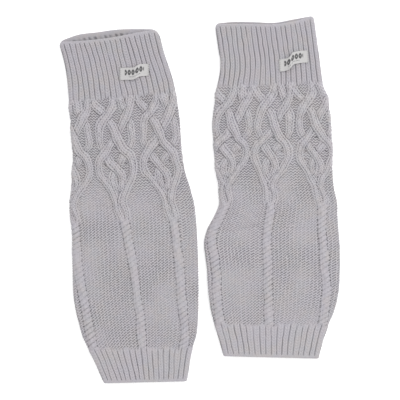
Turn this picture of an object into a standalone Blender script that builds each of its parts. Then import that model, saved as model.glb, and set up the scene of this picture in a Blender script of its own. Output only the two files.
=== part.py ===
"""A pair of hand-knit leg warmers in pale heather wool, laid out flat side by side.

Each leg warmer is a knitted tube that lies flat: its front layer rests on its back layer, and
the two meet in a rounded fold down each side. From the top down a tube has a ribbed top cuff, a
band of crossing cables, a plain leg that three narrow cables run down, and a ribbed ankle cuff.
A small woven label is sewn to the front of each top cuff.

Ribs and cables are raised in the outer points of the front layer, over a plain inside. The
underside is flat, because the tube rests on it. Sizes are in millimetres up to the last step,
which writes metres. The origin is under the middle of the pair, on the surface it lies on.
"""

import math

import bpy

MM = 0.001

# --- the wall of the tube ---------------------------------------------------------------------
BACK_WALL = 2.6          # thickness of the back layer, which lies on the surface
FRONT_WALL = 2.6         # thickness of the front layer between its raised stitches
INNER_GAP = 0.8          # space left between the two layers
GROUND = BACK_WALL + INNER_GAP + FRONT_WALL
SIDE_WALL = 2.8          # thickness of the cloth where it folds back at the sides
FOLD_INSET = 3.0         # how far in from the side the rounded fold begins
# points round that fold: (how far in from the side, height as a part of the ground's)
FOLD_POINTS = [(0.9, 0.74), (0.0, 0.42), (0.8, 0.12)]
SEAM_GAP = 0.3           # clearance between two stretches of the tube

# --- the knitting -----------------------------------------------------------------------------
RIB_HEIGHT = 1.5         # how far a rib stands above the ground
TOP_RIBS = 20            # ribs across the front of the top cuff
ANKLE_RIBS = 18          # ribs across the front of the ankle cuff
ROPE_HEIGHT = 3.0        # how far a cable strand stands above the ground
ROPE_HALF_WIDTH = 4.6
TWIST_HEIGHT = 2.2       # the narrow cables that run down the leg
TWIST_HALF_WIDTH = 5.2
TWIST_PITCH = 6.2        # one turn of the narrow cable
EDGE_DROP = 0.7          # how far the cloth rolls down at its two open ends
EDGE_ROLL = 1.6          # how far in from the edge that roll begins
MOUTH_DEPTH = 45.0       # how far down the front and the back part from each other at the mouth
MOUTH_GAPE = 1.3         # how far the front stands off the back there, in the middle
MOUTH_FADE = 14.0

# --- the grids that the front layer is made on ------------------------------------------------
BAND_COLUMNS = 48
BAND_ROW = 3.5
LEG_ROW = 2.6
CUFF_ROW = 19.0
PLAIN_ROW = 16.0         # rows of the underside and the inside, which are smooth
INNER_COLUMNS = 7

# --- outlines ---------------------------------------------------------------------------------
# A row for each section across the tube, from the top edge down to the ankle edge:
# (left_x, left_y, right_x, right_y). The ends of a row lie on the two side folds.
LEFT_OUTLINE = [
    (-169.8, 190.2, -50.2, 205.2),
    (-162.0, 163.0, -42.5, 175.0),
    (-158.5, 137.0, -34.0, 149.0),
    (-157.0, 117.5, -29.0, 128.5),
    (-155.0, 90.0, -24.0, 99.5),
    (-153.5, 62.5, -22.0, 71.0),
    (-152.5, 35.0, -19.5, 42.5),
    (-155.0, 9.5, -12.0, 17.0),
    (-156.0, -9.5, -6.5, -3.5),
    (-154.0, -36.0, -3.5, -31.0),
    (-153.5, -66.0, -2.0, -61.0),
    (-153.0, -96.0, -1.2, -92.5),
    (-151.5, -120.0, -1.2, -117.5),
    (-146.5, -144.0, -1.7, -142.0),
    (-141.0, -164.0, -4.0, -162.5),
    (-134.0, -179.0, -8.5, -177.5),
    (-126.0, -194.5, -12.0, -194.0),
    (-119.5, -209.0, -14.0, -207.5),
    (-114.5, -220.5, -16.0, -218.0),
]
RIGHT_OUTLINE = [
    (17.6, 212.0, 136.0, 221.6),
    (21.5, 185.0, 140.0, 192.0),
    (24.5, 159.5, 143.5, 165.5),
    (20.5, 135.5, 147.0, 140.5),
    (16.5, 114.0, 154.0, 117.5),
    (14.0, 87.5, 157.0, 90.0),
    (16.5, 62.5, 159.0, 63.5),
    (18.5, 36.0, 159.0, 37.0),
    (22.0, 12.0, 161.5, 13.0),
    (22.5, -3.5, 165.0, -3.5),
    (16.0, -20.0, 165.5, -20.5),
    (8.0, -35.5, 166.5, -36.0),
    (4.5, -53.0, 168.0, -54.0),
    (7.5, -78.0, 168.0, -79.0),
    (9.0, -105.5, 167.0, -107.0),
    (12.0, -129.5, 162.0, -131.0),
    (17.0, -149.5, 154.0, -150.5),
    (23.0, -168.0, 147.5, -169.0),
    (28.5, -188.0, 142.0, -191.0),
]

# The open top edge: (across, front_dip, back_rise). The front edge sags towards the ankle and
# the back edge stands up past it, so that the inside of the back layer shows in the mouth.
LEFT_MOUTH = [
    (0.0, 0.0, 0.5),
    (0.2, 2.2, 6.0),
    (0.4, 3.0, 6.2),
    (0.6, 2.4, 6.4),
    (0.8, 0.6, 4.0),
    (1.0, 0.0, 0.5),
]
RIGHT_MOUTH = [
    (0.0, 0.8, 0.5),
    (0.2, 2.4, 0.9),
    (0.4, 4.6, -1.4),
    (0.6, 6.6, -4.0),
    (0.8, 4.6, -1.8),
    (1.0, 0.0, 0.5),
]

# The corners of the mouth are rounded: (radius at the left fold, radius at the right fold).
LEFT_CORNERS = (6.5, 8.0)
RIGHT_CORNERS = (5.5, 4.0)

# Centre lines of the cable columns: (place, left, centre, right). Place runs from 0 at the foot
# of the top cuff over 1 at the foot of the cable band to 2 at the ankle cuff. The others are
# parts of the width across the front.
LEFT_COLUMNS = [
    (0.0, -0.03, 0.364, 0.772),
    (0.37, -0.014, 0.379, 0.772),
    (1.0, 0.02, 0.415, 0.806),
    (1.4, 0.045, 0.476, 0.841),
    (1.7, 0.085, 0.515, 0.867),
    (2.0, 0.06, 0.517, 0.91),
]
RIGHT_COLUMNS = [
    (0.0, 0.13, 0.495, 0.85),
    (0.41, 0.149, 0.494, 0.845),
    (1.0, 0.066, 0.447, 0.865),
    (1.12, 0.06, 0.437, 0.865),
    (1.3, 0.056, 0.46, 0.867),
    (1.7, 0.072, 0.457, 0.895),
    (2.0, 0.056, 0.475, 0.935),
]

# One repeat of the cable band, four strands: (drop, offset, lift). Drop is measured down from
# the height where the outer strands cross, offset is sideways from the column's centre line,
# and lift is how far the strand rides over (+) or dives under (-) the one it crosses.
STRANDS = {
    "outer_west": [
        (-46, 27, 0.4), (-34, 23, 0.4), (-24, 17, 0.6), (-12, 9.5, 0.0), (-2, 3.5, -1.2),
        (6, -2.5, -0.6), (14, -9.5, 0.5), (22, -16, 0.6), (31, -20, 0.0), (41, -19.5, 0.0),
        (50, -15, 0.0), (59, -10, 0.0), (67, -6.8, 0.0), (75, -5, 0.0), (80, -5, 0.0),
    ],
    "outer_east": [
        (-46, -19, -0.4), (-38, -15.5, 0.5), (-30, -9.5, 0.3), (-24, -6, -0.8), (-16, -1, 0.2),
        (-4, 3.2, 0.8), (5, 7, 0.5), (13, 11, 0.6), (20, 16.5, 0.5), (28, 20.3, 0.0),
        (38, 20.8, 0.0), (46, 17.8, 0.0), (54, 12.8, 0.0), (62, 8, 0.0), (70, 3.6, 0.3),
        (80, 1.8, 0.3),
    ],
    "inner_west": [
        (-46, 5, 0.0), (-37, 3, 0.2), (-28, -3.5, 0.8), (-20, -10.5, 0.4), (-12, -15, 0.0),
        (0, -16, 0.0), (9, -14.5, -0.5), (17, -11, -1.2), (26, -6.5, 0.0), (34, -1.5, 0.6),
        (42, 3.5, 0.4), (50, 5.5, 0.0), (59, 4, -0.3), (70, 1, -1.2),
    ],
    "inner_east": [
        (-46, 13, 0.2), (-36, 14.5, 0.6), (-25, 17, -1.2), (-14, 21.5, -0.2), (0, 22.5, 0.0),
        (8, 20.5, -0.4), (16, 14.5, -1.2), (26, 7.5, 0.0), (34, 2, -1.2), (42, -3.5, -0.2),
        (50, -6, 0.0), (59, -4.5, -0.3), (70, -1, -1.2),
    ],
}
BAND_ABOVE = 46.0        # height of the table above its crossing, which is fitted to the band
BAND_BELOW = 80.0

# Soft creases in the front layer: (x0, y0, x1, y1, lift, half_width), a trough where lift is
# negative and a ridge where it is positive.
LEFT_CREASES = [
    (-37.0, -44.0, -27.0, -150.0, -0.5, 6.0),
    (-148.0, -60.0, -120.0, -175.0, 0.4, 14.0),
    (-160.0, 150.0, -120.0, 108.0, -0.3, 9.0),
    (-100.0, -186.0, -30.0, -183.0, 0.5, 9.0),
]
RIGHT_CREASES = [
    (32.0, -39.0, 66.0, -35.0, -1.3, 3.5),
    (30.0, -29.0, 64.0, -30.0, 0.9, 5.0),
    (40.0, -5.0, 25.0, -33.0, -0.9, 4.0),
    (12.0, -44.0, 30.0, -47.0, 0.9, 8.0),
    (30.0, -12.0, 70.0, -20.0, 0.6, 8.0),
    (150.0, -20.0, 156.0, -120.0, -0.4, 7.0),
    (40.0, -154.0, 135.0, -156.0, 0.5, 9.0),
]

# The label is a short woven strip sewn down at both ends and buckled in the middle. A row for
# each fold: (along, shift, lift), with shift up the leg and lift off the ribs.
LABEL_WIDTH = 14.6
LABEL_THICKNESS = 0.7
LABEL_CLEARANCE = 0.3
LEFT_LABEL = [
    (0.0, 0.0, 0.0), (4.0, 0.0, 0.0), (9.0, 0.2, 0.5), (14.0, 0.2, 1.2), (17.5, 0.6, 2.2),
    (19.5, 1.8, 2.6), (21.5, 3.2, 1.2), (25.0, 4.4, 0.5), (30.0, 4.8, 0.0), (35.0, 5.0, 0.0),
]
RIGHT_LABEL = [
    (0.0, 0.0, 0.0), (4.0, 0.2, 0.0), (8.0, 0.8, 0.8), (11.0, 1.6, 2.2), (13.0, 3.2, 3.4),
    (14.8, 5.6, 2.8), (16.5, 7.6, 1.2), (21.0, 8.8, 0.6), (28.0, 9.6, 0.0), (35.0, 9.6, 0.0),
]

LEG_WARMERS = {
    "left": {
        "outline": LEFT_OUTLINE, "cuff_foot": 3, "band_foot": 8, "ankle_top": 15,
        "mouth": LEFT_MOUTH, "corners": LEFT_CORNERS, "columns": LEFT_COLUMNS, "crossing": 0.37,
        "creases": LEFT_CREASES, "label": LEFT_LABEL, "label_corner": (-96.0, 158.0),
        "label_turn": 0.0,
    },
    "right": {
        "outline": RIGHT_OUTLINE, "cuff_foot": 3, "band_foot": 8, "ankle_top": 16,
        "mouth": RIGHT_MOUTH, "corners": RIGHT_CORNERS, "columns": RIGHT_COLUMNS,
        "crossing": 0.41,
        "creases": RIGHT_CREASES, "label": RIGHT_LABEL, "label_corner": (94.5, 168.0),
        "label_turn": 2.0,
    },
}


# --- tables and curves ------------------------------------------------------------------------

def smooth(rows, at, column):
    """Read one column of a table at any place, on a smooth curve through its rows."""
    last = len(rows) - 1
    if at <= rows[0][0] or last == 0:
        return rows[0][column]
    if at >= rows[last][0]:
        return rows[last][column]
    k = 0
    while rows[k + 1][0] < at:
        k += 1
    span = rows[k + 1][0] - rows[k][0]
    t = (at - rows[k][0]) / span

    def slope(j):
        low = max(j - 1, 0)
        high = min(j + 1, last)
        return (rows[high][column] - rows[low][column]) / (rows[high][0] - rows[low][0]) * span

    return (rows[k][column] * (1 + 2 * t) * (1 - t) ** 2
            + slope(k) * t * (1 - t) ** 2
            + rows[k + 1][column] * t * t * (3 - 2 * t)
            - slope(k + 1) * t * t * (1 - t))


def corner_fall(away, radius):
    """How far a rounded corner falls back from the edge, this far in from the side."""
    short = min(max(1 - away / radius, 0.0), 1.0)
    return radius * (1 - math.sqrt(1 - short ** 2))


def even_steps(start, end, step):
    """Places from start to end, about one step apart."""
    count = max(1, round((end - start) / step))
    return [start + (end - start) * i / count for i in range(count + 1)]


class Tube:
    """One leg warmer as a map from (across, down) to its place on the surface.

    Across runs from 0 at the left fold to 1 at the right fold. Down is the distance in
    millimetres from the top edge along the middle of the tube.
    """

    def __init__(self, spec):
        self.spec = spec
        outline = spec["outline"]
        self.rows = [(0.0,) + outline[0]]
        for above, row in zip(outline, outline[1:]):
            step_x = (row[0] + row[2] - above[0] - above[2]) / 2
            step_y = (row[1] + row[3] - above[1] - above[3]) / 2
            self.rows.append((self.rows[-1][0] + math.hypot(step_x, step_y),) + row)
        self.cuff_foot = self.rows[spec["cuff_foot"]][0]
        self.band_foot = self.rows[spec["band_foot"]][0]
        self.ankle_top = self.rows[spec["ankle_top"]][0]
        self.length = self.rows[-1][0]

    def ends(self, down):
        """The two ends of the section at this distance down the tube."""
        inside = min(max(down, 0.0), self.length)
        left_x, left_y, right_x, right_y = [smooth(self.rows, inside, c) for c in (1, 2, 3, 4)]
        over = down - inside
        across_x, across_y = right_x - left_x, right_y - left_y
        width = math.hypot(across_x, across_y)
        step_x, step_y = across_y / width * over, -across_x / width * over
        return left_x + step_x, left_y + step_y, right_x + step_x, right_y + step_y

    def place(self, across, down):
        left_x, left_y, right_x, right_y = self.ends(down)
        return left_x + (right_x - left_x) * across, left_y + (right_y - left_y) * across

    def width(self, down):
        left_x, left_y, right_x, right_y = self.ends(down)
        return math.hypot(right_x - left_x, right_y - left_y)

    def columns(self, down):
        """Where the three cable columns of the front are, as parts of its width."""
        if down < self.band_foot:
            at = (down - self.cuff_foot) / (self.band_foot - self.cuff_foot)
        else:
            at = 1 + (down - self.band_foot) / (self.ankle_top - self.band_foot)
        return [smooth(self.spec["columns"], at, c) for c in (1, 2, 3)]

    def slack(self, x, y):
        """How far the front layer is lifted by its soft creases."""
        total = 0.0
        for x0, y0, x1, y1, lift, half_width in self.spec["creases"]:
            run_x, run_y = x1 - x0, y1 - y0
            t = ((x - x0) * run_x + (y - y0) * run_y) / (run_x * run_x + run_y * run_y)
            t = min(max(t, 0.0), 1.0)
            away = math.hypot(x - x0 - t * run_x, y - y0 - t * run_y)
            total += lift * math.exp(-(away / half_width) ** 2)
        return total

    def mouth_gape(self, across, down):
        """How far the front layer stands off the back one near the open top edge."""
        fade = math.exp(-max(down, 0.0) / MOUTH_FADE)
        return MOUTH_GAPE * math.sin(math.pi * across) * fade

    def front_lift(self, across, down):
        x, y = self.place(across, down)
        return self.slack(x, y) * math.sin(math.pi * across) ** 0.5 + self.mouth_gape(across, down)


# --- raised stitches --------------------------------------------------------------------------

def rib_relief(count):
    def relief(tube, across, down):
        phase = across * count % 1.0
        return RIB_HEIGHT * math.sin(math.pi * phase) ** 0.7
    return relief


def rope_profile(away, half_width):
    """Height of a round strand, from 1 on its middle line to 0 at its side."""
    if abs(away) >= half_width:
        return 0.0
    return math.sqrt(1 - (away / half_width) ** 2)


def band_relief(tube, across, down):
    """The crossing strands of the cable band."""
    height = tube.band_foot - tube.cuff_foot
    crossing = tube.cuff_foot + tube.spec["crossing"] * height
    if down < crossing:
        drop = (down - crossing) / (crossing - tube.cuff_foot) * BAND_ABOVE
    else:
        drop = (down - crossing) / (tube.band_foot - crossing) * BAND_BELOW
    width = tube.width(down)
    left, centre, right = tube.columns(down)
    repeat = (right - left) / 2
    best = 0.0
    for column in (left - repeat, left, centre, right, right + repeat):
        for rows in STRANDS.values():
            if not rows[0][0] <= drop <= rows[-1][0] + 0.01:
                continue
            offset = smooth(rows, drop, 1)
            lean = smooth(rows, min(drop + 1, rows[-1][0]), 1) - smooth(rows, drop - 1, 1)
            away = ((across - column) * width - offset) / math.hypot(1, lean / 2)
            lift = ROPE_HEIGHT + smooth(rows, drop, 2)
            best = max(best, lift * rope_profile(away, ROPE_HALF_WIDTH))
    return best


def leg_relief(tube, across, down):
    """The three narrow cables of the plain leg, each a pair of stitches twisted together."""
    width = tube.width(down)
    best = 0.0
    for column in tube.columns(down):
        away = (across - column) * width
        turn = math.cos(2 * math.pi * (down / TWIST_PITCH + away / (2.6 * TWIST_HALF_WIDTH)))
        height = TWIST_HEIGHT * (0.75 + 0.25 * turn)
        best = max(best, height * rope_profile(away, TWIST_HALF_WIDTH))
    return best


# --- where the grid lines of the front layer run ----------------------------------------------

def rib_lines(count):
    """Four lines to each rib: its valley, its two shoulders and its crest."""
    def lines(tube, down):
        return spread([i / (4 * count) for i in range(4 * count + 1)], tube.width(down))
    return lines


def band_lines(tube, down):
    return spread([i / BAND_COLUMNS for i in range(BAND_COLUMNS + 1)], tube.width(down))


def leg_lines(tube, down):
    """Five lines on each narrow cable and two in each plain panel between them."""
    width = tube.width(down)
    centres = tube.columns(down)
    beside = TWIST_HALF_WIDTH / width
    lines = [0.0]
    edges = [0.0]
    for centre in centres:
        edges += [centre - beside, centre + beside]
    edges.append(1.0)
    for k in range(0, len(edges), 2):
        start, end = edges[k], edges[k + 1]
        lines += [start + (end - start) * t for t in (0.34, 0.67)]
        if k < 2 * len(centres):
            centre = centres[k // 2]
            lines += [centre - beside, centre - beside / 2, centre, centre + beside / 2,
                      centre + beside]
    lines.append(1.0)
    return spread(lines, width)


def spread(lines, width):
    """Keep grid lines in order and off the side folds."""
    low = FOLD_INSET / width
    high = 1 - low
    least = 0.5 / width
    last = len(lines) - 1
    for i in range(last + 1):
        lines[i] = max(lines[i], low + i * least)
        lines[i] = min(lines[i], high - (last - i) * least)
    for i in range(1, last + 1):
        lines[i] = max(lines[i], lines[i - 1] + least)
    lines[0] = low
    lines[last] = high
    return lines


# --- building a mesh --------------------------------------------------------------------------

class Shell:
    """Points and faces of one closed solid, gathered row by row."""

    def __init__(self):
        self.points = []
        self.faces = []

    def row(self, places):
        first = len(self.points)
        self.points.extend(places)
        return list(range(first, len(self.points)))

    def sheet(self, rows):
        """Quads between neighbouring rows of the same length."""
        for above, below in zip(rows, rows[1:]):
            for i in range(len(above) - 1):
                self.faces.append((above[i], below[i], below[i + 1], above[i + 1]))

    def raised_sheet(self, rows, middle_height):
        """Triangles between rows, each quad split along the diagonal that keeps its relief."""
        for k, (above, below) in enumerate(zip(rows, rows[1:])):
            for i in range(len(above) - 1):
                a, b, c, d = above[i], below[i], below[i + 1], above[i + 1]
                twice = 2 * middle_height(k, i)
                miss_ac = abs(self.points[a][2] + self.points[c][2] - twice)
                miss_bd = abs(self.points[b][2] + self.points[d][2] - twice)
                if miss_ac < miss_bd:
                    self.faces += [(a, b, c), (a, c, d)]
                else:
                    self.faces += [(a, b, d), (b, c, d)]

    def lengths(self, line):
        """How far along a line each of its points is, from 0 to 1."""
        total = [0.0]
        for a, b in zip(line, line[1:]):
            total.append(total[-1] + math.dist(self.points[a], self.points[b]))
        return [t / total[-1] for t in total]

    def stitch(self, first, second):
        """Triangles between two lines that need not have the same number of points."""
        a, b = self.lengths(first), self.lengths(second)
        i = j = 0
        while i < len(first) - 1 or j < len(second) - 1:
            step_first = j == len(second) - 1 or (i < len(first) - 1 and a[i + 1] <= b[j + 1])
            if step_first:
                self.faces.append((first[i], second[j], first[i + 1]))
                i += 1
            else:
                self.faces.append((first[i], second[j], second[j + 1]))
                j += 1

    def make(self, name, collection, material):
        mesh = bpy.data.meshes.new(name)
        metres = [(x * MM, y * MM, z * MM) for x, y, z in self.points]
        mesh.from_pydata(metres, [], self.faces)
        mesh.validate()
        thing = bpy.data.objects.new(name, mesh)
        collection.objects.link(thing)
        mesh.materials.append(material)
        bpy.ops.object.select_all(action="DESELECT")
        thing.select_set(True)
        bpy.context.view_layer.objects.active = thing
        bpy.ops.object.mode_set(mode="EDIT")
        bpy.ops.mesh.select_all(action="SELECT")
        bpy.ops.mesh.quads_convert_to_tris(quad_method="BEAUTY", ngon_method="BEAUTY")
        bpy.ops.mesh.normals_make_consistent(inside=False)
        bpy.ops.object.mode_set(mode="OBJECT")
        return thing


class Stretch:
    """One stretch of the tube: a closed wall with its stitches raised on the front."""

    def __init__(self, tube, start, end, row_step, lines, relief, open_top=False,
                 open_foot=False):
        self.tube = tube
        self.top = start if open_top else start + SEAM_GAP / 2
        self.foot = end if open_foot else end - SEAM_GAP / 2
        self.row_step = row_step
        self.lines = lines
        self.relief = relief
        self.open_top = open_top
        self.open_foot = open_foot

    def place(self, across, down, layer):
        """A point of the front layer, the back layer or a fold; they part at the open top."""
        if self.open_top:
            fade = max(0.0, 1 - down / MOUTH_DEPTH)
            mouth = self.tube.spec["mouth"]
            shifts = {"front": smooth(mouth, across, 1), "back": -smooth(mouth, across, 2)}
            width = self.tube.width(down)
            left_radius, right_radius = self.tube.spec["corners"]
            corner = corner_fall(across * width, left_radius)
            corner += corner_fall((1 - across) * width, right_radius)
            down += (shifts.get(layer, 0.0) + corner) * fade
        return self.tube.place(across, down)

    def front_height(self, across, down):
        height = GROUND + self.tube.front_lift(across, down)
        return height + self.relief(self.tube, across, down)

    def front_rows(self):
        """How far down each row of the front layer is, with one more at each open edge."""
        downs = even_steps(self.top, self.foot, self.row_step)
        if self.open_top:
            downs.insert(1, self.top + EDGE_ROLL)
        if self.open_foot:
            downs.insert(-1, self.foot - EDGE_ROLL)
        return downs

    def add_front(self, shell):
        downs = self.front_rows()
        grid = [self.lines(self.tube, down) for down in downs]
        rows = []
        for down, line in zip(downs, grid):
            at_edge = (self.open_top and down == self.top) or (self.open_foot and down == self.foot)
            drop = EDGE_DROP if at_edge else 0.0
            places = []
            for across in line:
                height = self.front_height(across, down) - drop
                places.append(self.place(across, down, "front") + (height,))
            rows.append(shell.row(places))

        def middle_height(k, i):
            across = (grid[k][i] + grid[k][i + 1] + grid[k + 1][i] + grid[k + 1][i + 1]) / 4
            return self.front_height(across, (downs[k] + downs[k + 1]) / 2)

        shell.raised_sheet(rows, middle_height)
        return rows

    def outside_row(self, down):
        """Round the right fold, along the flat underside and up the left fold."""
        width = self.tube.width(down)
        inset = FOLD_INSET / width
        right, left = [], []
        for fold_in, part in FOLD_POINTS:
            x, y = self.place(1 - fold_in / width, down, "fold")
            right.append((x, y, GROUND * part))
            x, y = self.place(fold_in / width, down, "fold")
            left.append((x, y, GROUND * part))
        under = []
        for i in range(INNER_COLUMNS):
            across = 1 - inset - (1 - 2 * inset) * i / (INNER_COLUMNS - 1)
            under.append(self.place(across, down, "back") + (0.0,))
        return right + under + left[::-1]

    def inside_row(self, down):
        """Round the flat hollow, first under the front layer and then over the back one."""
        wall = SIDE_WALL / self.tube.width(down)
        count = INNER_COLUMNS + 1
        steps = [wall + (1 - 2 * wall) * i / count for i in range(count + 1)]
        upper = []
        for across in steps:
            lift = self.tube.front_lift(across, down) * math.sin(math.pi * across)
            end = across in (steps[0], steps[-1])
            gap = INNER_GAP / 2 if end else INNER_GAP + lift
            upper.append(self.place(across, down, "front") + (BACK_WALL + gap,))
        lower = [self.place(across, down, "back") + (BACK_WALL,) for across in steps[-2:0:-1]]
        return upper + lower

    def shell(self):
        shell = Shell()
        front = self.add_front(shell)
        downs = even_steps(self.top, self.foot, PLAIN_ROW)
        outside = [shell.row(self.outside_row(down)) for down in downs]
        inside = [shell.row(self.inside_row(down)) for down in downs]
        shell.sheet(outside)
        shell.sheet([row + row[:1] for row in inside])
        shell.stitch([row[-1] for row in front], [row[0] for row in outside])
        shell.stitch([row[0] for row in front], [row[-1] for row in outside])
        turn = INNER_COLUMNS + 1
        for k in (0, -1):
            upper = inside[k][:turn + 1]
            lower = inside[k][turn:] + inside[k][:1]
            shell.faces.append(front[k] + upper[::-1])
            shell.faces.append([front[k][-1]] + outside[k] + [front[k][0]] + lower[::-1])
        return shell


def label_strip(tube, spec):
    """The woven strip, made over the ribs of the cuff and moved out from them."""
    shell = Shell()
    corner_x, corner_y = spec["label_corner"]
    turn = math.radians(spec["label_turn"])
    rib_top = GROUND + RIB_HEIGHT
    upper, lower = [], []
    for along, shift, lift in spec["label"]:
        places = []
        for i in range(4):
            side = shift - LABEL_WIDTH * i / 3
            x = corner_x + along * math.cos(turn) - side * math.sin(turn)
            y = corner_y + along * math.sin(turn) + side * math.cos(turn)
            places.append((x, y, rib_top + tube.slack(x, y) + LABEL_CLEARANCE + lift))
        lower.append(shell.row(places))
        upper.append(shell.row([(x, y, z + LABEL_THICKNESS) for x, y, z in places]))
    shell.sheet(upper)
    shell.sheet(lower)
    for pair in ((upper[0], lower[0]), (upper[-1], lower[-1])):
        shell.stitch(*pair)
    for i in (0, -1):
        shell.stitch([row[i] for row in upper], [row[i] for row in lower])
    return shell


# --- materials and assembly -------------------------------------------------------------------

def finish(name, colour, roughness):
    material = bpy.data.materials.new(name)
    material.use_nodes = True
    shader = material.node_tree.nodes["Principled BSDF"]
    shader.inputs["Base Color"].default_value = colour + (1.0,)
    shader.inputs["Roughness"].default_value = roughness
    shader.inputs["Metallic"].default_value = 0.0
    return material


def clear_scene():
    for thing in list(bpy.data.objects):
        bpy.data.objects.remove(thing, do_unlink=True)


def centre_pair(things):
    """Put the middle of the pair's box over the origin."""
    xs = [v.co.x for thing in things for v in thing.data.vertices]
    ys = [v.co.y for thing in things for v in thing.data.vertices]
    shift_x = (min(xs) + max(xs)) / 2
    shift_y = (min(ys) + max(ys)) / 2
    for thing in things:
        for vertex in thing.data.vertices:
            vertex.co.x -= shift_x
            vertex.co.y -= shift_y


def main():
    clear_scene()
    collection = bpy.data.collections.new("leg_warmers")
    bpy.context.scene.collection.children.link(collection)
    wool = finish("heather_wool", (0.44, 0.42, 0.44), 0.95)
    woven = finish("woven_label", (0.62, 0.61, 0.60), 0.8)
    things = []
    for side, spec in LEG_WARMERS.items():
        tube = Tube(spec)
        top_cuff = Stretch(tube, 0.0, tube.cuff_foot, CUFF_ROW, rib_lines(TOP_RIBS),
                           rib_relief(TOP_RIBS), open_top=True)
        cable_band = Stretch(tube, tube.cuff_foot, tube.band_foot, BAND_ROW, band_lines,
                             band_relief)
        leg = Stretch(tube, tube.band_foot, tube.ankle_top, LEG_ROW, leg_lines, leg_relief)
        ankle_cuff = Stretch(tube, tube.ankle_top, tube.length, CUFF_ROW,
                             rib_lines(ANKLE_RIBS), rib_relief(ANKLE_RIBS), open_foot=True)
        things.append(top_cuff.shell().make(f"{side}_top_cuff", collection, wool))
        things.append(cable_band.shell().make(f"{side}_cable_band", collection, wool))
        things.append(leg.shell().make(f"{side}_leg", collection, wool))
        things.append(ankle_cuff.shell().make(f"{side}_ankle_cuff", collection, wool))
        label = label_strip(tube, spec)
        things.append(label.make(f"{side}_label", collection, woven))
    centre_pair(things)


main()
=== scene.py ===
# %% [markdown]
# # A pair of cable-knit leg warmers, laid out flat
#
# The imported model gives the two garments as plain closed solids: the right outline, the right
# thickness, and the main ribs and cables. This script dresses them. Every solid is covered by a
# piece of knitting whose stitches are real geometry, worked out on the solid's own form, and the
# wool gets a heathered, slightly fuzzy finish. Lengths are written in millimetres, as a knitter
# would measure them, and become metres when a mesh is made.

import math

import bpy
import numpy as np
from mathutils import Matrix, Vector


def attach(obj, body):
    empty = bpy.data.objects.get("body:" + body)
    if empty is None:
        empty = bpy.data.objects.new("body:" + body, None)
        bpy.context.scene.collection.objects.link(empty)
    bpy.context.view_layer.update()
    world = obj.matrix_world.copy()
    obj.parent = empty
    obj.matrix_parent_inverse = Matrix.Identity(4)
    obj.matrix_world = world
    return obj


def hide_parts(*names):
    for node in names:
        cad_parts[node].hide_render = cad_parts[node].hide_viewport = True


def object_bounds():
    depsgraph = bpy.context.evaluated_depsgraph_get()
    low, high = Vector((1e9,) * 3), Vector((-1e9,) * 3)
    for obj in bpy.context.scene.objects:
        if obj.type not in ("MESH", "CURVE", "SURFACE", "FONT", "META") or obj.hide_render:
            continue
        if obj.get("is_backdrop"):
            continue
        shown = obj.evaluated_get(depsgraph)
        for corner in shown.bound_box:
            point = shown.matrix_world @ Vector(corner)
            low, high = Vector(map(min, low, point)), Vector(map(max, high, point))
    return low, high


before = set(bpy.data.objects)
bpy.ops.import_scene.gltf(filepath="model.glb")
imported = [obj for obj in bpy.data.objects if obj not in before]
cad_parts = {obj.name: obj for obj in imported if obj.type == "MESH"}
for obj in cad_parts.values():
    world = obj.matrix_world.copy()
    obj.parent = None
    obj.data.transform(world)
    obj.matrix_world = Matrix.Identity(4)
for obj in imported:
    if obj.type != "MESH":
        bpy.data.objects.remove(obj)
solid_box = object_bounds()
MM = 0.001
print("solids:", sorted(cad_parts))

# %% [markdown]
# ## The camera
#
# The photograph looks straight down on the pair from far away, so its outlines have no
# perspective to speak of. A long lens high above the middle gives the same view. The photograph
# is square, and its width takes in 480 mm of the surface.

# %% A long lens, looking straight down
VIEW_WIDTH = 480.0
VIEW_MIDDLE_Y = -0.5
CAMERA_HEIGHT = 2000.0
SENSOR = 36.0

lens = bpy.data.cameras.new("copy_stand_lens")
lens.sensor_width = SENSOR
lens.lens = SENSOR * CAMERA_HEIGHT / VIEW_WIDTH
camera = bpy.data.objects.new("copy_stand_camera", lens)
camera.location = (0.0, VIEW_MIDDLE_Y * MM, CAMERA_HEIGHT * MM)
bpy.context.scene.collection.objects.link(camera)
bpy.context.scene.camera = camera
print("lens", round(lens.lens), "mm")

# %% [markdown]
# ## Smooth curves through short tables
#
# The sizes of a hand-shaped thing are best kept in short tables, a row for each place where
# something changes. A smooth curve through the rows then gives every size in between. It is a
# cubic that leaves each row with the slope between its two neighbours, so it never kinks.

# %% Reading a table at any place


def curve_through(places, values, at):
    """Values at any places, on a smooth curve through the rows of a table."""
    places, values = np.asarray(places, float), np.asarray(values, float)
    rows = np.arange(len(places))
    above, below = np.maximum(rows - 1, 0), np.minimum(rows + 1, len(places) - 1)
    slopes = (values[below] - values[above]) / (places[below] - places[above])
    at = np.clip(at, places[0], places[-1])
    k = np.clip(np.searchsorted(places, at) - 1, 0, len(places) - 2)
    span = places[k + 1] - places[k]
    t = (at - places[k]) / span
    return (values[k] * (1 + 2 * t) * (1 - t) ** 2 + slopes[k] * span * t * (1 - t) ** 2
            + values[k + 1] * t * t * (3 - 2 * t) - slopes[k + 1] * span * t * t * (1 - t))


def fade(at, start, end):
    """0 up to the start, 1 from the end on, and a soft slope between them."""
    t = np.clip((at - start) / (end - start), 0.0, 1.0)
    return t * t * (3 - 2 * t)


def hump(away, width):
    """A soft hump: 1 in the middle, and falling off over so much width on each side."""
    return np.exp(-(away / width) ** 2)


print("halfway between 0, 1 and 4:", curve_through([0, 1, 2], [0, 1, 4], 1.5))

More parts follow.
